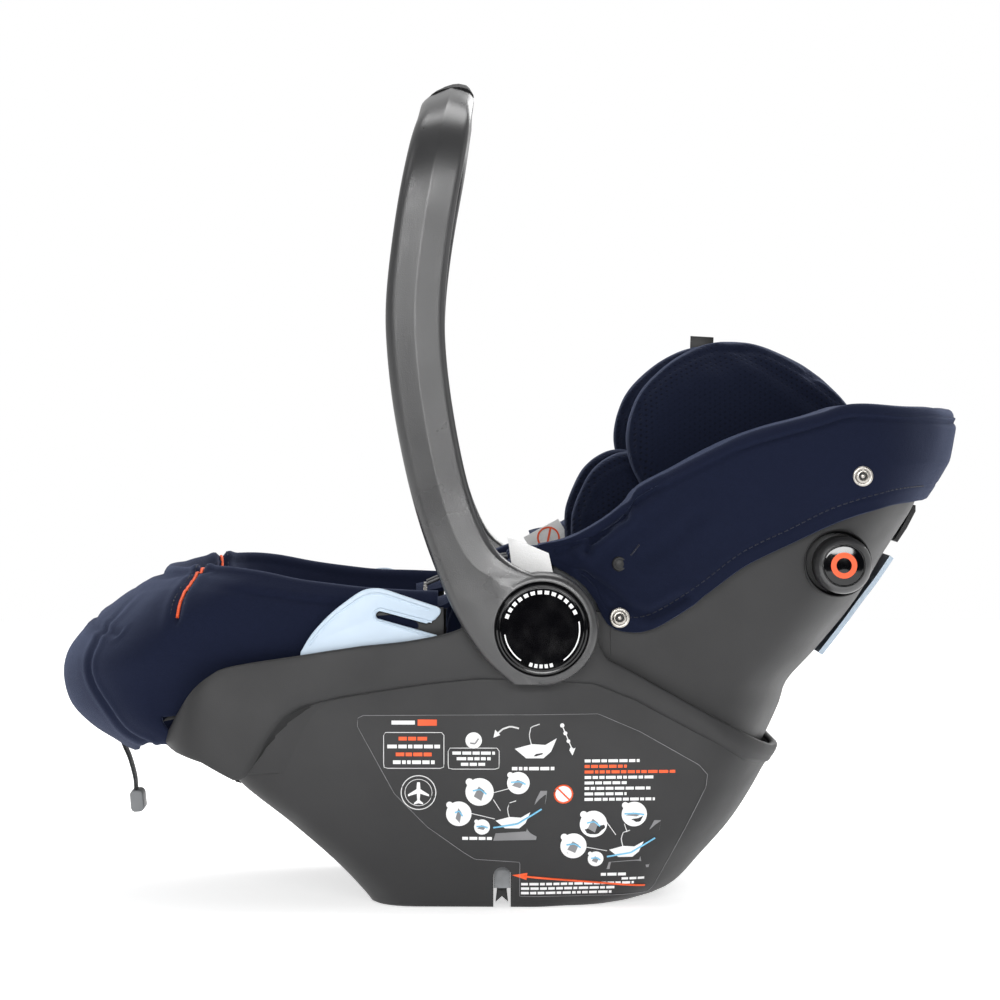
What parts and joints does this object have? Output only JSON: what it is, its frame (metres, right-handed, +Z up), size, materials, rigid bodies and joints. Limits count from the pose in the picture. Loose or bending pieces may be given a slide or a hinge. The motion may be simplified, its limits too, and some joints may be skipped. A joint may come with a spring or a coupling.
{
  "type": "infant car seat",
  "caption": "Rear-facing infant carrier with a swinging carry handle, a reclining backrest, a sliding leg section and a harness with a buckle.",
  "frame": {"origin": "on the floor, under the centre of the carrier's length and width", "axes": "+X to the head end, +Z up, +Y to the child's right"},
  "size_m": [0.668, 0.4404, 0.596],
  "materials": {
    "shell_plastic": "fine-grained moulded dark grey",
    "handle_plastic": "satin mid-grey",
    "insert_plastic": "satin light grey",
    "black_gloss": "gloss black",
    "black_plastic": "matt black",
    "grip_rubber": "dotted soft grip",
    "guide_plastic": "satin pale blue",
    "steel": "nickel plated",
    "navy_fabric": "smooth woven navy jersey",
    "navy_knit": "navy spacer knit",
    "foam": "moulded grey bead foam",
    "webbing": "charcoal polyester webbing",
    "red_plastic": "satin red"
  },
  "bodies": {
    "base": {"base_shell": "shell_plastic", "notch_lining_right": "insert_plastic", "notch_lining_left": "insert_plastic", "belt_guide_right": "guide_plastic", "belt_guide_left": "guide_plastic", "handle_pivot_right": "steel", "handle_pivot_left": "steel", "recline_pin_right": "steel", "recline_pin_left": "steel", "hip_panel_right": "navy_fabric", "hip_panel_left": "navy_fabric", "strap_anchor": "steel", "crotch_strap": "webbing", "crotch_pad": "navy_fabric", "buckle_body": "black_plastic", "buckle_tongue_right": "steel", "buckle_tongue_left": "steel"},
    "latch": {"latch_hooks": "black_plastic"},
    "trigger": {"recline_trigger": "black_plastic"},
    "buckle_release": {"buckle_button": "red_plastic"},
    "handle": {"handle_arm_right": "handle_plastic", "handle_arm_left": "handle_plastic", "handle_crossbar": "handle_plastic", "handle_grip": "grip_rubber", "hub_spring_right": "steel", "hub_spring_left": "steel"},
    "hub_button_r": {"hub_button_right": "black_gloss", "lock_gear_right": "insert_plastic"},
    "hub_button_l": {"hub_button_left": "black_gloss", "lock_gear_left": "insert_plastic"},
    "backrest": {"back_shell": "shell_plastic", "rim_cover": "navy_fabric", "foam_liner": "foam", "back_cushion": "navy_knit", "body_support_right": "navy_knit", "body_support_left": "navy_knit", "pod_housing_right": "handle_plastic", "pod_housing_left": "handle_plastic", "rear_belt_guide": "guide_plastic", "rear_snap_right": "steel", "rear_snap_left": "steel", "front_snap_right": "steel", "front_snap_left": "steel", "shoulder_strap_right": "webbing", "shoulder_strap_left": "webbing", "shoulder_pad_right": "navy_fabric", "shoulder_pad_left": "navy_fabric"},
    "lever": {"release_lever": "black_plastic"},
    "headrest": {"headrest_cushion": "navy_knit", "headrest_wing_right": "navy_knit", "headrest_wing_left": "navy_knit", "headrest_handle": "black_plastic"},
    "leg_section": {"leg_shell": "shell_plastic", "boot_cover": "navy_fabric", "seat_cushion": "navy_knit", "harness_adjuster": "black_plastic", "adjuster_strap": "webbing"},
    "adjuster_release": {"adjuster_button": "red_plastic"}
  },
  "joints": [
    {"name": "recline", "type": "hinge", "parent": "base", "child": "backrest", "pos_m": [-0.02, 0, 0.228], "axis": [0, 1, 0], "range_deg": [0, 12], "deforming": ["shoulder_strap_right", "shoulder_strap_left"]},
    {"name": "leg_slide", "type": "hinge", "parent": "base", "child": "leg_section", "pos_m": [-0.204, 0, -0.056], "axis": [0, -1, 0], "range_deg": [0, 9]},
    {"name": "handle_swing", "type": "hinge", "parent": "base", "child": "handle", "pos_m": [0.0205, 0, 0.2026], "axis": [0, 1, 0], "range_deg": [-50, 95]},
    {"name": "hub_button_press_right", "type": "slide", "parent": "handle", "child": "hub_button_r", "axis": [0, -1, 0], "range_m": [0, 0.0035], "stiffness_N_per_m": 1200, "springref_m": -0.002, "deforming": ["hub_spring_right"]},
    {"name": "hub_button_press_left", "type": "slide", "parent": "handle", "child": "hub_button_l", "axis": [0, 1, 0], "range_m": [0, 0.0035], "stiffness_N_per_m": 1200, "springref_m": -0.002, "deforming": ["hub_spring_left"]},
    {"name": "headrest_height", "type": "slide", "parent": "backrest", "child": "headrest", "axis": [0.766, 0, 0.6428], "range_m": [0, 0.045]},
    {"name": "release_lever_pull", "type": "hinge", "parent": "backrest", "child": "lever", "pos_m": [0.2995, 0, 0.283], "axis": [0, -1, 0], "range_deg": [0, 20], "stiffness_Nm_per_rad": 0.8, "springref_deg": -8.59},
    {"name": "latch_swing", "type": "hinge", "parent": "base", "child": "latch", "pos_m": [-0.0065, 0, 0.021], "axis": [0, 1, 0], "range_deg": [0, 16]},
    {"name": "recline_trigger_pull", "type": "hinge", "parent": "base", "child": "trigger", "pos_m": [-0.212, 0, 0.094], "axis": [0, 1, 0], "range_deg": [0, 10], "stiffness_Nm_per_rad": 0.5, "springref_deg": -8.59},
    {"name": "buckle_button_press", "type": "slide", "parent": "base", "child": "buckle_release", "axis": [1, 0, 0], "range_m": [0, 0.003], "stiffness_N_per_m": 1500, "springref_m": -0.002},
    {"name": "adjuster_button_press", "type": "slide", "parent": "leg_section", "child": "adjuster_release", "axis": [0, 0, -1], "range_m": [0, 0.004], "stiffness_N_per_m": 800, "springref_m": -0.002}
  ],
  "couplings": [
    {"joint": "leg_slide", "follows": "recline", "ratio": 0.75},
    {"joint": "latch_swing", "follows": "release_lever_pull", "ratio": 0.8}
  ]
}
